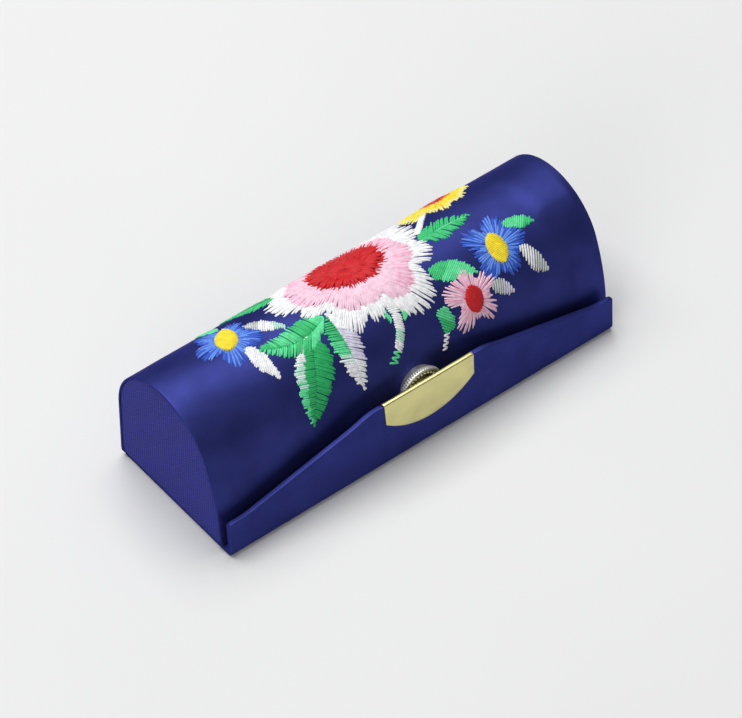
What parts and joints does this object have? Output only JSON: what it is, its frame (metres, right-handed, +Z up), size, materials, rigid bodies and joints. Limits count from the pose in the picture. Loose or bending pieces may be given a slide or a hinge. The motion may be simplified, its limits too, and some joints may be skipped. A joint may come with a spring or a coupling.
{
  "type": "hinged lipstick case",
  "caption": "Satin-covered card case with a domed trough, a hinged mirrored cover, a press-stud flap and embroidered flowers.",
  "frame": {"origin": "on the surface that the case stands on, under the middle of its box", "axes": "+X along the case to the right as seen from the clasp, -Y towards the clasp and its flap, +Z up from the cover to the crown"},
  "size_m": [0.095, 0.034, 0.0295],
  "materials": {
    "navy_satin": "glossy satin weave",
    "dark_lining": "matte taffeta",
    "card": "matte greyboard",
    "brass_sheet": "brushed, pale",
    "brass_dish": "pressed, tarnished",
    "nickel": "polished, slightly warm",
    "spring_wire": "drawn wire",
    "mirror_glass": "silvered glass",
    "foam_tape": "matte",
    "white_thread": "rayon thread",
    "pink_thread": "rayon thread",
    "red_thread": "rayon thread",
    "blue_thread": "rayon thread",
    "yellow_thread": "rayon thread",
    "green_thread": "rayon thread",
    "pale_thread": "rayon thread"
  },
  "bodies": {
    "cover": {"cover_board": "card", "cover_satin": "navy_satin", "cover_lining": "dark_lining", "mirror_tape": "foam_tape", "mirror_glass": "mirror_glass", "hinge_satin": "navy_satin", "hinge_lining": "dark_lining", "bend_satin": "navy_satin", "bend_lining": "dark_lining"},
    "flap": {"flap_board": "card", "flap_satin": "navy_satin", "flap_lining": "dark_lining", "clasp_plate": "brass_sheet", "clasp_stud": "brass_sheet"},
    "case": {"shell_board": "card", "shell_satin": "navy_satin", "shell_lining": "dark_lining", "end_board_left": "card", "end_board_right": "card", "end_satin_left": "navy_satin", "end_satin_right": "navy_satin", "end_lining_left": "dark_lining", "end_lining_right": "dark_lining", "socket_rim": "nickel", "socket_dish": "brass_dish", "socket_eyelet": "nickel", "socket_cap": "nickel", "snap_spring": "spring_wire", "peony_white": "white_thread", "peony_pink": "pink_thread", "peony_red": "red_thread", "blue_flower_left": "blue_thread", "blue_flower_right": "blue_thread", "pink_flower": "pink_thread", "yellow_flower": "yellow_thread", "flower_centres": "yellow_thread", "green_leaves": "green_thread", "pale_leaves": "pale_thread", "stems": "pale_thread"}
  },
  "joints": [
    {"name": "cover_hinge", "type": "hinge", "parent": "cover", "child": "case", "pos_m": [0, 0.0162, 0.0012], "axis": [-1, 0, 0], "range_deg": [0, 90], "deforming": ["hinge_satin", "hinge_lining"]},
    {"name": "flap_bend", "type": "hinge", "parent": "cover", "child": "flap", "pos_m": [0, -0.0155, 0.0015], "axis": [1, 0, 0], "range_deg": [0, 25], "stiffness_Nm_per_rad": 0.02, "deforming": ["bend_satin", "bend_lining", "snap_spring"]}
  ]
}
